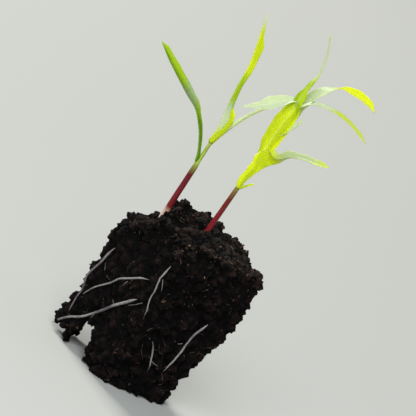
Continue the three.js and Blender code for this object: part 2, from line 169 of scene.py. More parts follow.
RIGHT_LEAVES = [{
    "name": "right_rolled_leaf", "at": 40, "out": 1.3, "heading": 317, "length": 60,
    "rise": [(0, 86), (30, 93), (38, 108), (44, 78), (60, 58)],
    "turn": [(0, 0), (34, 0), (42, -60)],
    "width": [(0, 5), (4, 6.5), (8, 11.2), (18, 12.6), (22, 10.8), (30, 5.7), (35, 2.2), (60, 1.4)],
    "curl": [(0, 130), (6, 92), (30, 84), (36, 30), (60, 20)],
    "wax_and_sheen": [(40, 60)], "green": [(25, 39)],
}, {
    "name": "right_drooping_leaf", "at": 47, "heading": 205, "length": 45,
    "rise": [(0, 62), (4, 82), (9, 96), (17, 108), (20, 74), (23, -19), (29, -41), (45, -27)],
    "turn": [(0, 0), (15, 0), (23, 55)],
    "width": [(0, 1.6), (15, 3), (24, 3.6), (29, 5.6), (33, 6.6), (38, 3.4), (45, 1)],
    "fold": [(0, 20)], "curl": [(0, 20)], "twist": [(0, 0), (20, 0), (28, -45), (45, -35)],
    "wax_and_sheen": [(0, 45)],
}, {
    "name": "right_arching_leaf", "at": 54, "heading": 82, "length": 53,
    "rise": [(0, 44), (12, 92), (18, 72), (24, 55), (30, 36), (36, 2), (42, -5), (53, -31)],
    "width": [(0, 1.4), (12, 2.6), (17, 7.2), (24, 6.8), (31, 6.4), (38, 6), (46, 4.1), (53, 0.8)],
    "fold": [(0, 25), (20, 20), (30, 6)], "curl": [(0, 20), (30, 8)],
    "twist": [(0, 0), (23, 0), (33, -30), (40, -45)], "round": 3,
    "wax_and_sheen": [(0, 30)], "wax_and_sheen_colour": "#a4b3a8",
}, {
    "name": "right_lower_arching_leaf", "at": 63.5, "heading": 45, "length": 36,
    "rise": [(0, 59), (6, 56), (11, 20), (18, 6), (25, -7), (29, -16), (36, -18)],
    "width": [(0, 1.2), (12, 3.6), (20, 3.8), (31, 3.2), (36, 1)],
    "fold": [(0, 15)], "curl": [(0, 10)], "twist": [(0, 0), (8, 15)], "wax_and_sheen": [(0, 18)],
}, {
    "name": "right_small_leaf", "at": 50, "heading": 40, "length": 15,
    "rise": [(0, 56), (15, 74)], "width": [(0, 1), (9, 4), (15, 1.2)],
    "fold": [(0, 20)], "curl": [(0, 10)], "twist": [(0, 35)], "wax_and_sheen": [(0, 15)],
}, {
    "name": "right_first_leaf", "at": 26, "out": 1.4, "heading": 27, "length": 43,
    "rise": [(0, 104), (6, 72), (12, 66), (18, 48), (22, 70), (27, 32), (34, 17), (43, 21)],
    "width": [(0, 5), (6, 6.8), (10, 9), (14, 13.4), (19, 13), (22, 7), (30, 4.2), (38, 3.6),
              (43, 1)],
    "fold": [(0, 10), (8, 40), (16, 60), (24, 25), (43, 20)],
    "curl": [(0, 120), (8, 50), (16, 25), (43, 10)],
    "twist": [(0, 0), (17, 0), (24, 35), (43, 40)], "round": 3,
    "wax_and_sheen": [(21, 37)], "wax_and_sheen_colour": "#a8b7a4",
}, {
    "name": "right_seed_sheath", "at": 26, "out": 1.1, "heading": 30, "length": 7,
    "rise": [(0, 62), (7, 46)], "width": [(0, 1.6), (4, 2), (7, 0.9)],
    "curl": [(0, 60)], "round": 1,
}]
BLADE_HALF_THICKNESS = 0.16
END_TAPER = 1.2
LEAST_CURL = math.radians(2)
VEIN_SPACING = 0.85

# Loose crumbs: how many would lie on a square metre of side and of top, their smallest and largest
# sizes, how finely each is made, and a seed
CRUMBS = [
    ("large_crumbs", 8e4, 1.2e5, 1.6, 4.5, 2, 3),
    ("small_crumbs", 3e5, 4e5, 0.6, 1.8, 1, 5),
    ("bark_crumbs", 3e4, 1.8e5, 0.5, 2.4, 1, 9),
]
CRUMB_SINK = 0.3
TOP_FROM, RIM_DEPTH = 62, 6

# Fineness of the meshes, in millimetres. Leaves start where the solids' coarser stems have them.
BLADE_STEP = 0.6
BLADE_COLUMNS = 65
STEM_STEP = 0.5
ROOT_STEP = 0.7
COARSE_STEP = 3
LEAST_STEPS = 4
SOIL_VOXEL = 0.5
BALL_SIDES, FOOT_ROWS, SIDE_ROWS, TOP_ROWS = 220, 30, 110, 50
MIDDLE_SHARE, RIM_SHARE, LOWEST_LEVEL, HIGHEST_LEVEL = 0.02, 0.99, 0.01, 0.98
UNDERCUT_SIDES = 40
# In metres: the two faces of a blade meet along its margins
MERGE_DISTANCE = 2e-7

# The photograph's view: the plant leans across it, so the camera is rolled
VIEW_AZIMUTH = math.radians(47)
VIEW_ELEVATION = math.radians(12)
VIEW_ROLL = math.radians(35)
VIEW_WIDTH = 165.3
VIEW_ACROSS, VIEW_HEIGHT = -3.97, 76.3
CAMERA_DISTANCE = 1800
SENSOR_WIDTH = 36
FLOOR_RADIUS, FLOOR_DEPTH, FLOOR_SIDES = 4000, 20, 96
LIT_HEIGHT = 0.09

NODE_FAMILIES = ("ShaderNode", "GeometryNode", "FunctionNode", "Node")
SIGNS = {"+": "ADD", "-": "SUBTRACT", "*": "MULTIPLY", "/": "DIVIDE"}
# Settings that come back: a mix of two colours, one that tints the first with the second, an
# eased range, and a vector or a number in geometry
BLENDED = {"data_type": "RGBA"}
TINTED = {"data_type": "RGBA", "blend_type": "MULTIPLY"}
EASED = {"interpolation_type": "SMOOTHSTEP"}
ARROW, NUMBER = {"data_type": "FLOAT_VECTOR"}, {"data_type": "FLOAT"}
HALF = (0.5, 0.5, 0.5)


def linear(hex_colour):
    """An sRGB hex colour as the linear values that a shader takes."""
    shares = [int(hex_colour[i:i + 2], 16) / 255 for i in (1, 3, 5)]
    return (*[s / 12.92 if s <= 0.04045 else ((s + 0.055) / 1.055) ** 2.4 for s in shares], 1.0)


def new_node(tree, kind, inputs=(), **settings):
    """A node with its settings and what its inputs get, by name or in order of those in use.

    A kind is named without its family, and its operation or sign may follow it. An input gets a
    value, a hex colour, a link from a socket, or a link from a node's first output in use.
    """
    kind, _, operation = kind.partition(" ")
    family = next(name for name in NODE_FAMILIES if hasattr(bpy.types, name + kind))
    node = tree.nodes.new(family + kind)
    if operation:
        node.operation = SIGNS.get(operation, operation)
    for name, value in settings.items():
        setattr(node, name, value)
    if isinstance(inputs, dict):
        pairs = [(node.inputs[name], value) for name, value in inputs.items()]
    else:
        pairs = zip([socket for socket in node.inputs if socket.enabled], inputs)
    for socket, value in pairs:
        if isinstance(value, bpy.types.Node):
            value = next(output for output in value.outputs if output.enabled)
        if isinstance(value, bpy.types.NodeSocket):
            tree.links.new(value, socket)
        elif isinstance(value, str) and value.startswith("#"):
            socket.default_value = linear(value)
        else:
            socket.default_value = value
    return node


def shape_tree(name, **inputs):
    """An empty tree with inputs named by kind, what adds a node to it, and the inputs' sockets."""
    tree = bpy.data.node_groups.new(name, "GeometryNodeTree")
    for kind, labels in inputs.items():
        for label in labels:
            tree.interface.new_socket(label, in_out="INPUT", socket_type="NodeSocket" + kind)
    tree.interface.new_socket("Shape", in_out="OUTPUT", socket_type="NodeSocketGeometry")
    add = partial(new_node, tree)
    return tree, add, add("GroupInput").outputs


def new_finish(name):
    """An empty material, and what adds a node to it."""
    finish = bpy.data.materials.new(name)
    finish.use_nodes = True
    finish.node_tree.nodes.clear()
    return finish, partial(new_node, finish.node_tree)


def new_object(name, data):
    thing = bpy.data.objects.new(name, data)
    bpy.context.scene.collection.objects.link(thing)
    return thing


def grown(name, tree, source, inputs):
    """The plain mesh that a tree makes of a source object, as a new object. The source goes."""
    modifier = source.modifiers.new(tree.name, "NODES")
    modifier.node_group = tree
    sockets = {item.name: item.identifier for item in tree.interface.items_tree}
    for label, value in inputs.items():
        modifier[sockets[label]] = value
    graph = bpy.context.evaluated_depsgraph_get()
    mesh = bpy.data.meshes.new_from_object(source.evaluated_get(graph), depsgraph=graph)
    mesh.name = name
    bpy.data.objects.remove(source)
    return new_object(name, mesh)


def lines(name, runs, facts):
    """An object of open lines. A run is a line's points, and a fact has a value for every point."""
    edges = []
    first = 0
    for run in runs:
        edges += [(first + i, first + i + 1) for i in range(len(run) - 1)]
        first += len(run)
    mesh = bpy.data.meshes.new(name)
    mesh.from_pydata((np.concatenate(runs) * MM).tolist(), edges, [])
    for fact, values in facts.items():
        values = np.asarray(values, np.float32)
        kind, field = ("FLOAT", "value") if values.ndim == 1 else ("FLOAT_VECTOR", "vector")
        attribute = mesh.attributes.new(fact, kind, "POINT")
        attribute.data.foreach_set(field, values.ravel())
    return new_object(name, mesh)


def closed_mesh(name, rings):
    """A closed mesh object through rings of points, with a point in the middle of each end."""
    count = len(rings[0])
    points = np.concatenate([*rings, [rings[0].mean(0)], [rings[-1].mean(0)]])
    top, low_middle, high_middle = count * (len(rings) - 1), len(points) - 2, len(points) - 1
    sides = [(side, (side + 1) % count) for side in range(count)]
    faces = [(first + side, first + beside, first + beside + count, first + side + count)
             for first in range(0, top, count) for side, beside in sides]
    for side, beside in sides:
        faces += [(low_middle, beside, side), (high_middle, top + side, top + beside)]
    mesh = bpy.data.meshes.new(name)
    mesh.from_pydata((points * MM).tolist(), [], faces)
    return new_object(name, mesh)


# The source's rules for paths

def eased(value, start, end):
    share = np.clip((value - start) / (end - start), 0.0, 1.0)
    return share * share * (3 - 2 * share)


def between(pairs, distance):
    """The value at a distance, eased from each (distance, value) pair to the next."""
    after = bisect.bisect_right([pair[0] for pair in pairs], distance)
    if after == 0:
        return pairs[0][1]
    if after == len(pairs):
        return pairs[-1][1]
    (start, first), (end, second) = pairs[after - 1], pairs[after]
    return first + (second - first) * float(eased(distance, start, end))


def level_way(heading):
    return Vector((math.cos(heading), math.sin(heading), 0))


def heading_at(shape, distance):
    return math.radians(shape["heading"] + between(shape.get("turn", [(0, 0)]), distance))


def onward_at(shape, distance):
    heading = heading_at(shape, distance)
    rise = math.radians(between(shape["rise"], distance))
    level = math.cos(rise)
    return Vector((level * math.cos(heading), level * math.sin(heading), math.sin(rise)))


def spine(shape, start, fineness, length=None):
    """The distances, points, ways on and upper faces along a midrib or an axis."""
    length = length or shape["length"]
    steps = max(LEAST_STEPS, round(length / fineness))
    stride = length / steps
    point = Vector(start)
    frames = []
    for step in range(steps + 1):
        distance = stride * step
        heading = heading_at(shape, distance)
        onward = onward_at(shape, distance)
        side = Vector((-math.sin(heading), math.cos(heading), 0))
        twist = math.radians(between(shape.get("twist", [(0, 0)]), distance))
        side.rotate(Matrix.Rotation(twist, 3, onward))
        frames.append((distance, point.copy(), onward, onward.cross(side)))
        point += onward_at(shape, distance + stride / 2) * stride
    return list(zip(*frames))


# Trees that make the shapes

def pushed_out(add, shape, distance):
    """The shape with its points moved out along their normals."""
    out = add("VectorMath SCALE", [add("InputNormal"), distance])
    return add("SetPosition", {"Geometry": shape, "Offset": out})


def above_ground(add, shape):
    """The shape with whatever would be under the ground laid level on it."""
    x, y, z = add("SeparateXYZ", [add("InputPosition")]).outputs
    spot = add("CombineXYZ", [x, y, add("Math MAXIMUM", [z, 0.0])])
    return add("SetPosition", {"Geometry": shape, "Position": spot})


def end_tree(add, shape, finish):
    """Ends a tree in a plain mesh with its finish."""
    plain = add("RealizeInstances", [shape])
    add("GroupOutput", [add("SetMaterial", {"Geometry": plain, "Material": finish})])


def blade_tree():
    """A closed blade along a midrib: a grid is wrapped into an upper and a lower face."""
    tree, add, given = shape_tree(
        "blade_along_a_midrib", Geometry=["Midrib"], Int=["Columns"], Material=["Finish"],
        Float=["Ripple", "Ripple Length", "Rib Height", "Rib Width", "Vein Height",
               "Vein Spacing", "Seed"])
    count = add("AttributeDomainSize", [given["Midrib"]])
    shape = add("MeshGrid", [1.0, 1.0, given["Columns"], count])
    place = add("InputPosition")
    x, y, _ = add("SeparateXYZ", [place]).outputs
    # Share runs from one margin to the other over the upper face, and back over the lower one
    share = add("Math -", [add("Math ABSOLUTE", [add("Math *", [x, 4.0])]), 1.0])
    hand = add("Math SIGN", [share])
    off_rib = add("Math ABSOLUTE", [share])
    under = add("Math GREATER_THAN", [x, 0.0])
    along = add("Math +", [y, 0.5])
    ring = add("Math ROUND", [add("Math *", [along, add("Math -", [count, 1.0])])])

    fact = {}
    for name in ("onward", "upper", "fold", "curl", "bend", "half_width", "half_thickness",
                 "distance"):
        kind = ARROW if name in ("onward", "upper") else NUMBER
        read = add("InputNamedAttribute", [name], **kind)
        fact[name] = add("SampleIndex", [given["Midrib"], read, ring], **kind)
    rib = add("SampleIndex", [given["Midrib"], place, ring], **ARROW)

    # The section is an arc on each side of the midrib
    at_rib = add("Math *", [hand, fact["fold"]])
    turned = add("Math MULTIPLY_ADD", [share, fact["curl"], at_rib])
    first, normal = [add("VectorRotate", {"Vector": fact["upper"], "Axis": fact["onward"],
                                          "Angle": angle}) for angle in (at_rib, turned)]
    arc = add("VectorMath SCALE", [add("VectorMath -", [first, normal]), fact["bend"]])
    on_arc = add("VectorMath +", [rib, arc])

    # Margins ripple, more and more away from the midrib, and less where the blade is narrow
    ripple_at = add("Math /", [fact["distance"], given["Ripple Length"]])
    spot = add("CombineXYZ", [ripple_at, hand, given["Seed"]])
    swing = add("Math -", [add("TexNoise", [spot, 1.0, 1.0]), 0.5])
    wide = add("MapRange", [fact["half_width"], 0.0, 2 * MM])
    for factor in (add("Math POWER", [off_rib, 2.0]), given["Ripple"], wide):
        swing = add("Math *", [swing, factor])
    sheet = add("VectorMath +", [on_arc, add("VectorMath SCALE", [normal, swing])])

    # Thickness fades out at the margins; the lower face has a rib, and both have fine veins
    across = add("Math *", [share, fact["half_width"]])
    body = add("Math SQRT", [add("Math -", [1.0, add("Math POWER", [off_rib, 4.0])])])
    from_rib = add("Math /", [across, given["Rib Width"]])
    squared = add("Math *", [from_rib, from_rib])
    hill = add("Math EXPONENT", [add("Math *", [squared, -1.0])])
    hill = add("Math *", [hill, add("MapRange", [under, 0.0, 1.0, -0.25, 1.0])])
    ridge = add("Math *", [hill, given["Rib Height"]])
    wave = add("Math /", [across, given["Vein Spacing"]])
    wave = add("Math COSINE", [add("Math *", [wave, 2 * math.pi])])
    detail = add("Math +", [ridge, add("Math *", [wave, given["Vein Height"]])])
    solid = add("MapRange", [fact["half_thickness"], 0.0, BLADE_HALF_THICKNESS * MM])
    for factor in (solid, body):
        detail = add("Math *", [detail, factor])
    depth = add("Math +", [add("Math *", [body, fact["half_thickness"]]), detail])
    near_rib = add("MapRange", [off_rib, 0.0, 0.22, 1.0, 0.0], **EASED)

    # The finish reads millimetres across and along with the share from midrib to margin, and
    # which face it is on
    across_mm, along_mm = [add("Math *", [length, 1 / MM])
                           for length in (across, fact["distance"])]
    blade = add("CombineXYZ", [across_mm, along_mm, off_rib])
    for name, kind, value in (("blade", ARROW, blade), ("under", NUMBER, under),
                              ("depth", NUMBER, depth), ("near_rib", NUMBER, near_rib)):
        shape = add("StoreNamedAttribute", {"Geometry": shape, "Name": name, "Value": value},
                    domain="POINT", **kind)
    shape = add("SetPosition", {"Geometry": shape, "Position": sheet})
    weight, deep = [add("InputNamedAttribute", [name], **NUMBER) for name in ("near_rib", "depth")]
    soft = add("BlurAttribute", {"Value": place, "Iterations": 4, "Weight": weight}, **ARROW)
    shape = add("SetPosition", {"Geometry": shape, "Position": soft})
    shape = pushed_out(add, shape, deep)
    shape = add("MergeByDistance", {"Geometry": shape, "Distance": MERGE_DISTANCE})
    end_tree(add, add("SetShadeSmooth", [shape]), given["Finish"])
    return tree


def limb_tree():
    """Round limbs along lines that know their radius, with a slow swelling and fine furrows."""
    tree, add, given = shape_tree(
        "limb_along_a_line", Geometry=["Lines"], Int=["Sides"], Material=["Finish"],
        Float=["Relief", "Relief Length"])
    path = add("MeshToCurve", [given["Lines"]])
    ring = add("CurvePrimitiveCircle", {"Resolution": given["Sides"], "Radius": 1.0})
    radius = add("InputNamedAttribute", ["radius"], **NUMBER)
    shape = add("CurveToMesh", [path, ring, radius, True])
    x, y, z = add("SeparateXYZ", [add("InputPosition")]).outputs
    furrow = add("CombineXYZ", [x, y, add("Math *", [z, 0.2])])
    spot = add("VectorMath /", [furrow, given["Relief Length"]])
    swing = add("Math -", [add("TexNoise", [spot, 1.0, 2.0]), 0.5])
    swing = add("Math *", [swing, given["Relief"]])
    shape = pushed_out(add, shape, swing)
    end_tree(add, add("SetShadeSmooth", [shape]), given["Finish"])
    return tree


def crumbled_tree():
    """A surface of packed clods and grains: rounded heads with creases between them."""
    tree, add, given = shape_tree(
        "crumbled_surface", Geometry=["Block"], Material=["Finish"],
        Float=["Clod Size", "Clod Height", "Grain Size", "Grain Height", "Warp"])
    place = add("InputPosition")
    wide, fine = [add("VectorMath /", [place, given[size]])
                  for size in ("Clod Size", "Grain Size")]
    bent = add("TexNoise", [wide, 0.8, 2.0]).outputs["Color"]
    bent = add("VectorMath SCALE", [add("VectorMath -", [bent, HALF]), given["Warp"]])
    wide = add("VectorMath +", [wide, bent])
    height = 0.0
    for spot, size in ((wide, given["Clod Height"]), (fine, given["Grain Height"])):
        cell = add("TexVoronoi", {"Vector": spot, "Scale": 1.0})
        head = add("MapRange", [cell, 0.0, 0.9, 0.3, -0.8], **EASED)
        height = add("Math MULTIPLY_ADD", [head, size, height])
    # How deep each point is sunk, which the finish reads to paint shade into the creases
    shape = add("StoreNamedAttribute", {
        "Geometry": given["Block"], "Name": "sunk",
        "Value": add("Math *", [height, -1 / MM])}, domain="POINT", **NUMBER)
    shape = above_ground(add, pushed_out(add, shape, height))
    end_tree(add, add("SetShadeSmooth", [shape]), given["Finish"])
    return tree


def crumb_tree():
    """Loose crumbs strewn over a surface, thicker on its top, each bent by its place."""
    tree, add, given = shape_tree(
        "strewn_crumbs", Geometry=["Block"], Int=["Fineness", "Seed"], Material=["Finish"],
        Float=["Side Density", "Top Density", "Smallest", "Largest", "Top From"])
    place = add("InputPosition")
    height = add("SeparateXYZ", [place]).outputs["Z"]
    rim = add("Math -", [given["Top From"], RIM_DEPTH * MM])
    density = add("MapRange", [height, rim, given["Top From"], given["Side Density"],
                               given["Top Density"]])
    spread = add("DistributePointsOnFaces", {"Mesh": given["Block"], "Density": density,
                                             "Seed": given["Seed"]})
    turn = add("RandomValue", {"Max": (6.28, 6.28, 6.28), "Seed": given["Seed"]}, **ARROW)
    squash = add("RandomValue", {"Min": (0.32, 0.32, 0.25), "Max": (0.55, 0.5, 0.42),
                                 "Seed": given["Seed"]}, **ARROW)
    few_big = add("Math POWER", [add("RandomValue", {"Seed": given["Seed"]}, **NUMBER), 2.5])
    size = add("MapRange", [few_big, 0.0, 1.0, given["Smallest"], given["Largest"]])
    sunk = add("Math *", [size, -CRUMB_SINK])
    sunk = add("VectorMath SCALE", [spread.outputs["Normal"], sunk])
    strewn = add("InstanceOnPoints", {
        "Points": add("SetPosition", {"Geometry": spread, "Offset": sunk}),
        "Instance": add("MeshIcoSphere", [1.0, given["Fineness"]]), "Rotation": turn,
        "Scale": add("VectorMath SCALE", [squash, size])})
    rough = add("VectorMath /", [place, given["Largest"]])
    noise = add("TexNoise", [rough, 2.4, 1.0]).outputs["Color"]
    bend = add("Math *", [given["Largest"], 0.5])
    shift = add("VectorMath SCALE", [add("VectorMath -", [noise, HALF]), bend])
    shape = add("RealizeInstances", [strewn])
    shape = add("SetPosition", {"Geometry": shape, "Offset": shift})
    end_tree(add, above_ground(add, shape), given["Finish"])
    return tree


# Finishes

# Upper face, lower face, and the colour and the share of the light that passes through the blade
LEAF_TINTS = {
    # Sunlit: the pale upper face is painted sheen, the bright yellow lower face painted sun shining
    # through
    "sunlit": {"upper": "#cfe080", "lower": "#dcea28", "through": "#f8fc1c", "pass": 0.7},
    "grown": {"upper": "#8ab12c", "lower": "#6c960f", "through": "#cdea08", "pass": 0.6},
}
LOWER_PASS = 0.6
# Pale wax and painted sheen: how much light passes there, and how far the pale colour covers
WAX_AND_SHEEN_PASS, WAX_AND_SHEEN_COVER = 0.26, 0.75
SPAN_SOFTNESS, SPAN_DRIFT = 3, 5.0
# How much red, green and blue is left of a face's colour and of the light through it, along a
# vein and where the blade is painted darker green
VEIN_SHADE, VEIN_FILTER = (0.55, 0.68, 0.4, 1), (0.72, 0.8, 0.5, 1)
GREEN_SHADE, GREEN_FILTER = (0.6, 0.76, 0.9, 1), (0.76, 0.82, 1, 1)
UPPER_FILTER = (1, 1, 0.8, 1)
STEM_STREAK_SHADE = (0.6, 0.45, 0.45, 1)
# Painted sunlight on the top: from this height up the compost is painted lighter and browner
LIT_TOP_FROM = 58
LIT_TOP_COLOUR = "#2a201b"
# Painted shade in the creases of the compost
CREASE_SHADE = "#010101"


def within(add, place, spans):
    """How far a place along the blade is inside spans of millimetres, from 0 to 1."""
    inside = 0.0
    for start, end in spans:
        rise, fall = [add("MapRange", [place, edge - SPAN_SOFTNESS, edge + SPAN_SOFTNESS, *change],
                          **EASED) for edge, change in ((start, (0.0, 1.0)), (end, (1.0, 0.0)))]
        inside = add("Math MULTIPLY_ADD", [rise, fall, inside])
    return inside


def leaf_finish(leaf):
    """Young maize leaf: a thin blade with parallel veins, painted pale along one part for a wax
    bloom and painted sheen, and painted darker green along another.

    Light that falls on the upper face comes out of the lower one yellow-green, less along veins.
    """
    finish, add = new_finish("maize_" + leaf["name"])
    tint = LEAF_TINTS[leaf["tint"]]
    blade = add("Attribute", attribute_name="blade").outputs["Vector"]
    under = add("Attribute", attribute_name="under").outputs["Fac"]
    across, along, _ = add("SeparateXYZ", [blade]).outputs
    wave = add("Math COSINE", [add("Math *", [across, 2 * math.pi / VEIN_SPACING])])
    veins = add("MapRange", [wave, 0.1, 1.0])
    streak_at = add("CombineXYZ", [across, add("Math *", [along, 0.03]), 0.0])
    streak = add("TexNoise", [streak_at, 1.6, 3.0])
    marked = add("Math *", [veins, streak])
    patchy = add("MapRange", [add("TexNoise", [blade, 0.12, 2.0]), 0.35, 0.7, 0.0, 0.4])
    rib = add("MapRange", [add("Math ABSOLUTE", [across]), 0.2, 0.6, 0.22, 0.0])

    # Wax with painted sheen, and darker green, fade in and out along the blade, in streaks
    drift = add("MapRange", [streak, 0.0, 1.0, -SPAN_DRIFT, SPAN_DRIFT])
    spot = add("Math +", [along, drift])
    # How far the pale wax and painted sheen cover the blade here
    wax_and_sheen_share = add("Math *", [within(add, spot, leaf["wax_and_sheen"]), WAX_AND_SHEEN_COVER])
    darker_green = within(add, spot, leaf["green"])

    face = add("Mix", [under, tint["upper"], tint["lower"]], **BLENDED)
    face = add("Mix", [add("Math MAXIMUM", [marked, patchy]), face, VEIN_SHADE], **TINTED)
    # Darker and greener along the leaf's green lengths
    face = add("Mix", [darker_green, face, GREEN_SHADE], **TINTED)
    face = add("Mix", [rib, face, "#eaf2b4"], **BLENDED)
    # Painted sheen: the face turns to the leaf's pale colour along its pale lengths
    face = add("Mix", [wax_and_sheen_share, face, leaf["wax_and_sheen_colour"]], **BLENDED)
    through = add("Mix", [under, UPPER_FILTER, tint["through"]], **BLENDED)
    through = add("Mix", [marked, through, VEIN_FILTER], **TINTED)
    through = add("Mix", [darker_green, through, GREEN_FILTER], **TINTED)
    bare = add("MapRange", [under, 0.0, 1.0, tint["pass"], LOWER_PASS])
    # Less light passes through where the pale wax and painted sheen are
    share = add("MapRange", [wax_and_sheen_share, 0.0, 1.0, bare, WAX_AND_SHEEN_PASS])
    gloss = add("MapRange", [streak, 0.3, 0.7, 0.36, 0.52])
    bump = add("Bump", {"Strength": 0.5, "Distance": 0.06 * MM,
                        "Height": add("Math +", [veins, streak])})
    skin = add("BsdfPrincipled", {
        "Base Color": face, "Roughness": gloss, "IOR": 1.45, "Specular IOR Level": 0.3,
        "Normal": bump})
    glow = add("BsdfTranslucent", {"Color": through, "Normal": bump})
    add("OutputMaterial", {"Surface": add("MixShader", [share, skin, glow])})
    return finish


def stem_finish(name, levels):
    """Maize seedling stem: crimson sap under a smooth ridged skin, pale below and green above."""
    finish, add = new_finish(name)
    along = add("Attribute", attribute_name="along").outputs["Fac"]
    place = add("TexCoord").outputs["Object"]
    squeezed = add("Mapping", {"Vector": place, "Scale": (1.0, 1.0, 0.08)})
    streak = add("TexNoise", [squeezed, 1 / (0.5 * MM), 3.0])
    jitter = add("MapRange", [streak, 0.0, 1.0, -0.03, 0.03])
    ramp = add("ValToRGB", [add("Math +", [along, jitter])])
    stops = ramp.color_ramp.elements
    while len(stops) < len(levels):
        stops.new(0.5)
    for stop, (position, colour) in zip(stops, levels):
        stop.position = position
        stop.color = linear(colour)
    darker = add("Mix", [1.0, ramp, STEM_STREAK_SHADE], **TINTED)
    base = add("Mix", [add("MapRange", [streak, 0.4, 0.7]), ramp, darker], **BLENDED)
    bump = add("Bump", {"Strength": 0.4, "Distance": 0.08 * MM, "Height": streak})
    skin = add("BsdfPrincipled", {
        "Base Color": base, "Roughness": 0.42, "IOR": 1.45, "Specular IOR Level": 0.35,
        "Subsurface Weight": 0.15, "Subsurface Radius": (1.0, 0.35, 0.2),
        "Subsurface Scale": 0.8 * MM, "Normal": bump})
    add("OutputMaterial", {"Surface": skin})
    return finish


def compost_finish(name, dark, middle, fleck, fleck_share, crease_shade_share):
    """Damp peat compost: near black, with brown flecks of fibre and bark and a few wet grains.

    The top is painted lighter and browner, as painted sunlight, and the creases are painted
    darkest, as painted shade.
    """
    finish, add = new_finish(name)
    place = add("TexCoord").outputs["Object"]
    height = add("SeparateXYZ", [place]).outputs["Z"]
    # Painted sunlight: the middle tone turns lighter and browner towards the top
    lit_top = add("MapRange", [height, LIT_TOP_FROM * MM, BALL_HEIGHT * MM])
    middle_lit_on_top = add("Mix", [lit_top, middle, LIT_TOP_COLOUR], **BLENDED)
    broad, fine, grain = [
        add("TexNoise", [place, 1 / (size * MM), detail, roughness])
        for size, detail, roughness in ((2.8, 4.0, 0.6), (0.9, 3.0, 0.65), (0.5, 4.0, 0.7))]
    base = add("Mix", [add("MapRange", [broad, 0.44, 0.62]), dark, middle_lit_on_top], **BLENDED)
    flecks = add("MapRange", [fine, 0.68 - fleck_share, 0.74 - fleck_share / 2])
    base = add("Mix", [flecks, base, fleck], **BLENDED)
    # Painted shade: the deeper a point is sunk into a crease, the darker it is painted
    sunk = add("Attribute", attribute_name="sunk").outputs["Fac"]
    crease_shade = add("MapRange", [sunk, 0.3, 1.5, 0.0, crease_shade_share])
    base = add("Mix", [crease_shade, base, CREASE_SHADE], **BLENDED)
    wet = add("MapRange", [grain, 0.45, 0.75, 0.95, 0.55])
    bump = add("Bump", {"Strength": 1.0, "Distance": 0.35 * MM, "Height": grain})
    skin = add("BsdfPrincipled", {
        "Base Color": base, "Roughness": wet, "IOR": 1.4, "Specular IOR Level": 0.12,
        "Normal": bump})
    add("OutputMaterial", {"Surface": skin})
    return finish


def root_finish():
    """Young maize root: a matt, slightly see-through rind, greyed where compost clings to it."""
    finish, add = new_finish("maize_root_rind")
    place = add("TexCoord").outputs["Object"]
    age = add("MapRange", [add("TexNoise", [place, 1 / (14 * MM)]), 0.4, 0.6])
    rind = add("Mix", [age, "#8d8b8a", "#5e575b"], **BLENDED)
    stain = add("TexNoise", [place, 1 / (2.2 * MM), 4.0, 0.65])
    dirt = add("MapRange", [stain, 0.5, 0.72, 0.0, 0.75])
    base = add("Mix", [dirt, rind, "#2f2420"], **BLENDED)
    grain = add("TexNoise", [place, 1 / (0.4 * MM), 3.0])
    bump = add("Bump", {"Strength": 0.5, "Distance": 0.1 * MM, "Height": grain})
    skin = add("BsdfPrincipled", {
        "Base Color": base, "Roughness": 0.6, "IOR": 1.42, "Subsurface Weight": 0.2,
        "Subsurface Radius": (1.0, 0.8, 0.7), "Subsurface Scale": 0.5 * MM, "Normal": bump})
    add("OutputMaterial", {"Surface": skin})
    return finish


def fibre_finish():
    """Coir fibre and peat sedge: dry brown threads, paler where they are frayed."""
    finish, add = new_finish("coir_fibre")
    place = add("TexCoord").outputs["Object"]
    fray = add("MapRange", [add("TexNoise", [place, 1 / (4 * MM), 2.0]), 0.35, 0.65])
    base = add("Mix", [fray, "#241a15", "#5c4634"], **BLENDED)
    skin = add("BsdfPrincipled", {"Base Color": base, "Roughness": 0.75})
    add("OutputMaterial", {"Surface": skin})
    return finish


# The block of compost, by the source's rule

def corner_value(i, j, k):
    wave = np.sin(i * 127.1 + j * 311.7 + k * 74.7) * 43758.5453
    return wave - np.floor(wave)


def value_noise(x, y, z):
    """Smooth noise between the seeded values of a unit grid's corners, from -1 to 1."""
    cells = [np.floor(value) for value in (x, y, z)]
    shares = [value - cell for value, cell in zip((x, y, z), cells)]
    u, v, w = [share * share * (3 - 2 * share) for share in shares]
    total = 0
    for a, b, c in itertools.product((0, 1), repeat=3):
        weight = (u if a else 1 - u) * (v if b else 1 - v) * (w if c else 1 - w)
        total = total + weight * corner_value(cells[0] + a, cells[1] + b, cells[2] + c)
    return 2 * total - 1


def lump_at(x, y, z):
    return sum(height * value_noise(x / across, y / across, z / across) for across, height in LUMPS)


def ball_half_width(level):
    return (BALL_FOOT_WIDTH + (BALL_TOP_WIDTH - BALL_FOOT_WIDTH) * level) / 2


def outline_reach(angle, half_width):
    power = BALL_SQUARENESS
    return half_width / (abs(np.cos(angle)) ** power + abs(np.sin(angle)) ** power) ** (1 / power)


def bulge_reach(angle, level):
    """How far the bulges at the corners stick out past the plain outline."""
    reach = 0
    for corner, furthest, half_angle, height, half_height in BULGES:
        off = angle - math.radians(corner)
        off_corner = abs(np.arctan2(np.sin(off), np.cos(off)))
        off_height = abs(level * BALL_HEIGHT - height)
        inside = 1 - eased(off_corner, 0, math.radians(half_angle))
        reach = reach + furthest * inside * (1 - eased(off_height, 0, half_height))
    return reach


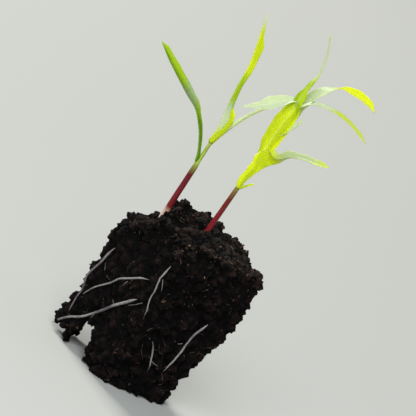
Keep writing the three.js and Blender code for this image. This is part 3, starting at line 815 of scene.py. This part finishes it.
def top_height(x, y):
    reach = -(x + y) / math.sqrt(2)
    step = eased(reach, SHOULDER_FROM, SHOULDER_FROM + SHOULDER_STEP_WIDTH)
    slope = SHOULDER_SLOPE * np.maximum(0, reach - SHOULDER_FROM - SHOULDER_STEP_WIDTH)
    mound = 0
    for middle_x, middle_y, radius, height in MOUNDS:
        off_middle = np.hypot(x - middle_x, y - middle_y)
        mound = mound + height * (1 - eased(off_middle, 0, radius))
    return BALL_HEIGHT + mound * (1 - step) - SHOULDER_STEP * step - slope


def foot_height(x, y):
    reach = -(x + y) / math.sqrt(2)
    return WORN_FOOT_HEIGHT * eased(reach, WORN_FOOT_FROM, WORN_FOOT_FROM + WORN_FOOT_WIDTH)


def ball_ring(angles, share, level):
    reach = (outline_reach(angles, ball_half_width(level)) + bulge_reach(angles, level)) * share
    x, y = reach * np.cos(angles), reach * np.sin(angles)
    low, high = foot_height(x, y), top_height(x, y)
    height = low + (high - low) * level
    lump = lump_at(x, y, height)
    swell = 1 + lump * share / ball_half_width(level)
    return np.column_stack([x * swell, y * swell, height + lump * eased(level, LIFT_FROM, 1)])


def round_angles(count):
    return np.linspace(0, 2 * math.pi, count, endpoint=False)


def plain_block():
    """The ball before it crumbles: rings out over its foot, up its sides and in over its top."""
    stations = [(share, 0) for share in np.linspace(MIDDLE_SHARE, RIM_SHARE, FOOT_ROWS)]
    stations += [(1, level) for level in np.linspace(LOWEST_LEVEL, HIGHEST_LEVEL, SIDE_ROWS)]
    stations += [(share, 1) for share in np.linspace(RIM_SHARE, MIDDLE_SHARE, TOP_ROWS)]
    angles = round_angles(BALL_SIDES)
    return closed_mesh("block", [ball_ring(angles, share, level) for share, level in stations])


def undercut():
    """The tunnel that takes the crumbled hole out of the worn corner's foot."""
    outward = np.array([math.cos(WORN_CORNER), math.sin(WORN_CORNER), 0])
    across = np.array([outward[1], -outward[0], 0])
    angles = round_angles(UNDERCUT_SIDES)
    x, y = np.cos(angles), np.sin(angles)
    rings = []
    for along in range(-UNDERCUT["half_length"], UNDERCUT["half_length"] + 1):
        rough = value_noise(along / UNDERCUT["rough_length"], UNDERCUT["rough_around"] * x,
                            UNDERCUT["rough_around"] * y)
        size = 1 + UNDERCUT["roughness"] * rough
        out = UNDERCUT["from"] + UNDERCUT["half_width"] * size * x
        ring = along * across + out[:, None] * outward
        ring[:, 2] = UNDERCUT["height"] * size * y
        rings.append(ring)
    return closed_mesh("tunnel", rings)


def compost_block(finish):
    block, tunnel = plain_block(), undercut()
    cut = block.modifiers.new("worn corner", "BOOLEAN")
    cut.object, cut.operation, cut.solver = tunnel, "DIFFERENCE", "EXACT"
    even = block.modifiers.new("even faces", "REMESH")
    even.mode, even.voxel_size = "VOXEL", SOIL_VOXEL * MM
    block = grown("compost_block", crumbled_tree(), block, {
        "Clod Size": 4.8 * MM, "Clod Height": 2.3 * MM, "Grain Size": 1.8 * MM,
        "Grain Height": 1.0 * MM, "Warp": 1.0, "Finish": finish})
    bpy.data.objects.remove(tunnel)
    return block


# Roots and fibres

def face_point(face, along, height):
    """A point on the side of the ball that faces a heading."""
    outward = math.radians(face)
    half_width = ball_half_width(height / BALL_HEIGHT)
    share = min(abs(along) / half_width, ROOT_CORNER_SHARE)
    out = half_width * (1 - share ** BALL_SQUARENESS) ** (1 / BALL_SQUARENESS)
    x = out * math.cos(outward) - along * math.sin(outward)
    y = out * math.sin(outward) + along * math.cos(outward)
    swell = 1 + float(lump_at(x, y, height)) / half_width
    return np.array([x * swell, y * swell, height])


def root_run(start, slants, length, wander, seed):
    """Places down one side of the ball, from one slant to the other with a little wander."""
    along, height = start
    steps = max(LEAST_STEPS, round(length / ROOT_STEP))
    places = []
    for step in range(steps + 1):
        places.append((along, height))
        drift = wander * float(value_noise(step * ROOT_STEP / WANDER_LENGTH, seed, 0.5))
        slant = math.radians(slants[0] + (slants[1] - slants[0]) * step / steps + drift)
        along += length / steps * math.cos(slant)
        height -= length / steps * math.sin(slant)
    return places


def over_neighbours(rule, values):
    """What a rule makes of each value with those a few steps before and after it."""
    padded = np.pad(values, BRIDGE_STEPS, mode="edge")
    return np.array([rule(padded[i:i + 2 * BRIDGE_STEPS + 1]) for i in range(len(values))])


def steps_from_end(run):
    """How many steps each point of a run is from its nearer end."""
    step = np.arange(len(run))
    return np.minimum(step, step[::-1])


def laid_on(surface, face, places, lift):
    """The points of a run laid on the compost, bridging its creases."""
    inward = -level_way(math.radians(face))
    points = []
    for along, height in places:
        point = face_point(face, along, max(height, LOWEST_ROOT))
        start = Vector(point) - inward * SEARCH_DEPTH
        hit = surface.ray_cast(start * MM, inward, 2 * SEARCH_DEPTH * MM)[0]
        points.append(np.array(hit) / MM if hit is not None else point)
    points = np.array(points)
    depth = points @ np.array(inward)
    bridge = over_neighbours(np.mean, over_neighbours(np.min, depth))
    dive = DIVE_DEPTH * np.clip(1 - steps_from_end(points) / DIVE_STEPS, 0, 1) ** 2
    return points + np.outer(bridge - depth - lift + dive, np.array(inward))


def surface_roots(surface, finish, tree):
    """The main roots on the ball, and the thin side roots that leave them in turn."""
    random = np.random.default_rng(7)
    runs, radii = [], []
    for number, (face, along, height, slants, length, radius) in enumerate(SURFACE_ROOTS):
        places = root_run((along, height), slants, length, ROOT_WANDER, number)
        run = laid_on(surface, face, places, ROOT_SINK * radius)
        taper = 1 - ROOT_TAPER * np.linspace(0, 1, len(run))
        runs.append(run)
        radii.append(radius * taper * np.minimum(1, (steps_from_end(run) + 1) / ROOT_TIP_STEPS))
        first = SIDE_ROOT_FIRST[number % len(SIDE_ROOT_FIRST)]
        for spot in range(first, len(places) - SIDE_ROOT_CLEAR, SIDE_ROOT_EVERY):
            hand = 1 if (spot // SIDE_ROOT_EVERY) % 2 else -1
            slant = slants[0] + hand * random.uniform(*SIDE_ROOT_SLANT)
            branch = root_run(places[spot], (slant, slant + SIDE_ROOT_CURVE * hand),
                              random.uniform(*SIDE_ROOT_LENGTH), SIDE_ROOT_WANDER,
                              number * 9 + spot)
            side = laid_on(surface, face, branch, SIDE_ROOT_SINK)
            runs.append(side)
            radii.append(SIDE_ROOT_RADIUS * np.linspace(1, THREAD_TIP_SHARE, len(side)))
    path = lines("root_paths", runs, {"radius": np.concatenate(radii) * MM})
    return grown("surface_roots", tree, path, {
        "Sides": 10, "Relief": 0.12 * MM, "Relief Length": 1.4 * MM, "Finish": finish})


def fibres(block, surface, finish, tree):
    """Threads of coir and sedge that lie on the compost, with their loose ends a little off it."""
    random = np.random.default_rng(21)
    mesh = block.data
    runs, radii = [], []
    for index in random.integers(0, len(mesh.polygons), FIBRE_COUNT):
        face = mesh.polygons[int(index)]
        point, normal = face.center.copy(), face.normal.copy()
        way = normal.cross(Vector(random.normal(size=3))).normalized()
        bend = Vector(random.normal(size=3)) * FIBRE_BEND
        length = random.uniform(*FIBRE_LENGTH) * MM
        loose = random.uniform(*FIBRE_LOOSE) * MM
        run = []
        for step in range(FIBRE_STEPS + 1):
            spot, normal, _, _ = surface.find_nearest(point)
            off = abs(2 * step / FIBRE_STEPS - 1) ** 2 - FIBRE_SINK_SHARE
            point = spot + normal * loose * off
            run.append([point.x, point.y, max(point.z, LOWEST_FIBRE * MM)])
            way = (way + bend).normalized()
            point = point + way * length / FIBRE_STEPS
        radius = random.uniform(*FIBRE_RADIUS)
        run = np.array(run) / MM
        legs = np.diff(run, axis=0)
        legs /= np.linalg.norm(legs, axis=1)[:, None]
        if (legs[1:] * legs[:-1]).sum(1).min() > LEAST_BEND_COSINE:
            runs.append(run)
            radii.append(radius * np.linspace(1, THREAD_TIP_SHARE, FIBRE_STEPS + 1))
    path = lines("fibre_paths", runs, {"radius": np.concatenate(radii) * MM})
    return grown("compost_fibres", tree, path, {
        "Sides": 4, "Relief": 0.0, "Relief Length": MM, "Finish": finish})


# Stems and leaves

def stem_piece(stem, finish, tree):
    distance, points, _, _ = spine(stem, stem["foot"], STEM_STEP)
    radius = [between(stem["radius"], d) * MM for d in distance]
    radius[-1] = STEM_TIP_SHARE * radius[-2]
    run = np.array(points)
    run[0] -= (0, 0, STEM_ROOTED)
    share = [d / stem["length"] for d in distance]
    path = lines(stem["name"] + "_path", [run], {"radius": radius, "along": share})
    piece = grown(stem["name"] + "_flesh", tree, path, {
        "Sides": 28, "Relief": 0.22 * MM, "Relief Length": 1.1 * MM, "Finish": finish})
    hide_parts(stem["name"])
    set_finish(piece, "stem")
    return piece


def leaf_piece(stem, leaf, tree, seed):
    _, on_stem, _, _ = spine(stem, stem["foot"], COARSE_STEP, leaf["at"])
    start = on_stem[-1] + level_way(math.radians(leaf["heading"])) * leaf["out"]
    distance, points, onward, upper = spine(leaf, start, BLADE_STEP)
    distance = np.array(distance)
    left = leaf["length"] - distance
    rounding = np.sqrt(np.clip(1 - (1 - np.clip(left / leaf["round"], 0, 1)) ** 2, 0, 1))
    half_width = np.array([between(leaf["width"], d) / 2 for d in distance]) * rounding
    fold = np.radians([between(leaf["fold"], d) for d in distance])
    curl = np.maximum(np.radians([between(leaf["curl"], d) for d in distance]), LEAST_CURL)
    ends = np.clip(np.minimum(distance, left) / END_TAPER, 0, 1)
    midrib = lines(leaf["name"] + "_midrib", [np.array(points)], {
        "onward": onward, "upper": upper, "distance": distance * MM, "fold": fold, "curl": curl,
        "bend": half_width / curl * MM, "half_width": half_width * MM,
        "half_thickness": BLADE_HALF_THICKNESS * ends * MM})
    piece = grown(leaf["name"] + "_blade", tree, midrib, {
        "Columns": BLADE_COLUMNS, "Ripple": 0.9 * MM, "Ripple Length": 5 * MM,
        "Rib Height": 0.12 * MM, "Rib Width": 0.4 * MM, "Vein Height": 0.02 * MM,
        "Vein Spacing": VEIN_SPACING * MM, "Seed": float(seed), "Finish": leaf_finish(leaf)})
    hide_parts(leaf["name"])
    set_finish(piece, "leaf")
    return piece


# Studio

def place_camera():
    """The camera is rolled about its line of sight, after it is turned and raised."""
    level = level_way(VIEW_AZIMUTH)
    back = Vector((math.sin(VIEW_AZIMUTH) * math.cos(VIEW_ELEVATION),
                   -math.cos(VIEW_AZIMUTH) * math.cos(VIEW_ELEVATION), math.sin(VIEW_ELEVATION)))
    right = level * math.cos(VIEW_ROLL) + back.cross(level) * math.sin(VIEW_ROLL)
    target = level * VIEW_ACROSS
    target.z = VIEW_HEIGHT
    camera = new_object("camera", bpy.data.cameras.new("camera"))
    camera.data.sensor_width = SENSOR_WIDTH
    camera.data.lens = SENSOR_WIDTH * CAMERA_DISTANCE / VIEW_WIDTH
    camera.data.clip_start, camera.data.clip_end = 0.05, 40
    turn = Matrix((right, back.cross(right), back)).transposed().to_4x4()
    camera.matrix_world = Matrix.Translation((target + back * CAMERA_DISTANCE) * MM) @ turn
    bpy.context.scene.camera = camera


def soft_light(name, way, distance, size, power, colour):
    """A square soft light on the plant, from so far right of, beyond and above it in the view."""
    away = Vector((-math.sin(VIEW_AZIMUTH), math.cos(VIEW_AZIMUTH), 0))
    towards = level_way(VIEW_AZIMUTH) * way[0] + away * way[1] + Vector((0, 0, way[2]))
    towards.normalize()
    light = new_object(name, bpy.data.lights.new(name, "AREA"))
    light.data.size = size
    light.data.energy = power
    light.data.color = linear(colour)[:3]
    light.location = Vector((0, 0, LIT_HEIGHT)) + towards * distance
    light.rotation_mode = "QUATERNION"
    light.rotation_quaternion = towards.to_track_quat("Z", "Y")


def studio():
    angles = round_angles(FLOOR_SIDES)
    x, y = FLOOR_RADIUS * np.cos(angles), FLOOR_RADIUS * np.sin(angles)
    floor = closed_mesh("floor", [np.column_stack([x, y, np.full(FLOOR_SIDES, height)])
                                  for height in (-FLOOR_DEPTH, 0)])
    finish, add = new_finish("matt_pale_board")
    skin = add("BsdfPrincipled", {
        "Base Color": "#a2a4a1", "Roughness": 0.9, "Specular IOR Level": 0.1})
    add("OutputMaterial", {"Surface": skin})
    floor.data.materials.append(finish)
    world = bpy.data.worlds.new("studio")
    world.use_nodes = True
    sky = world.node_tree.nodes["Background"]
    sky.inputs["Color"].default_value = linear("#dfe6ea")
    sky.inputs["Strength"].default_value = 0.5
    bpy.context.scene.world = world
    soft_light("back_light", (-0.55, 0.55, 0.62), 3.0, 1.0, 116, "#fffbf4")
    soft_light("front_light", (-0.15, -1.0, 0.75), 2.0, 1.2, 46, "#ffffff")
    bpy.context.scene.view_settings.view_transform = "Standard"


blades, limbs = blade_tree(), limb_tree()
pieces = []
for stem, leaves, finish in (
    (LEFT_STEM, LEFT_LEAVES, stem_finish("maize_stem_left", LEFT_STEM["colours"])),
    (RIGHT_STEM, RIGHT_LEAVES, stem_finish("maize_stem_right", RIGHT_STEM["colours"])),
):
    pieces.append(stem_piece(stem, finish, limbs))
    for leaf in leaves:
        pieces.append(leaf_piece(stem, {**PLAIN_LEAF, **leaf}, blades, len(pieces)))

# The last number is how dark the painted shade in the creases gets
compost = compost_finish("damp_peat_compost", "#030303", "#1a100f", "#4a3526", 0.02, 0.85)
bark = compost_finish("brown_bark_fines", "#3a2a20", "#64493a", "#96785a", 0.1, 0.3)
block = compost_block(compost)
points = [v.co for v in block.data.vertices]
surface = BVHTree.FromPolygons(points, [tuple(p.vertices) for p in block.data.polygons])
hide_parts("root_ball")
pieces += [block, surface_roots(surface, root_finish(), limbs),
           fibres(block, surface, fibre_finish(), limbs)]
strewn = crumb_tree()
for crumbs, finish in zip(CRUMBS, (compost, compost, bark)):
    name, side, top, smallest, largest, fineness, seed = crumbs
    pieces.append(grown(name, strewn, new_object("bed", block.data.copy()), {
        "Side Density": side, "Top Density": top, "Smallest": smallest * MM,
        "Largest": largest * MM, "Fineness": fineness, "Top From": TOP_FROM * MM, "Seed": seed,
        "Finish": finish}))
for piece in pieces:
    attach(piece, "root")
    if "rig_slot" not in piece:
        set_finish(piece, "stem" if piece.name == "surface_roots" else "compost")

studio()
place_camera()
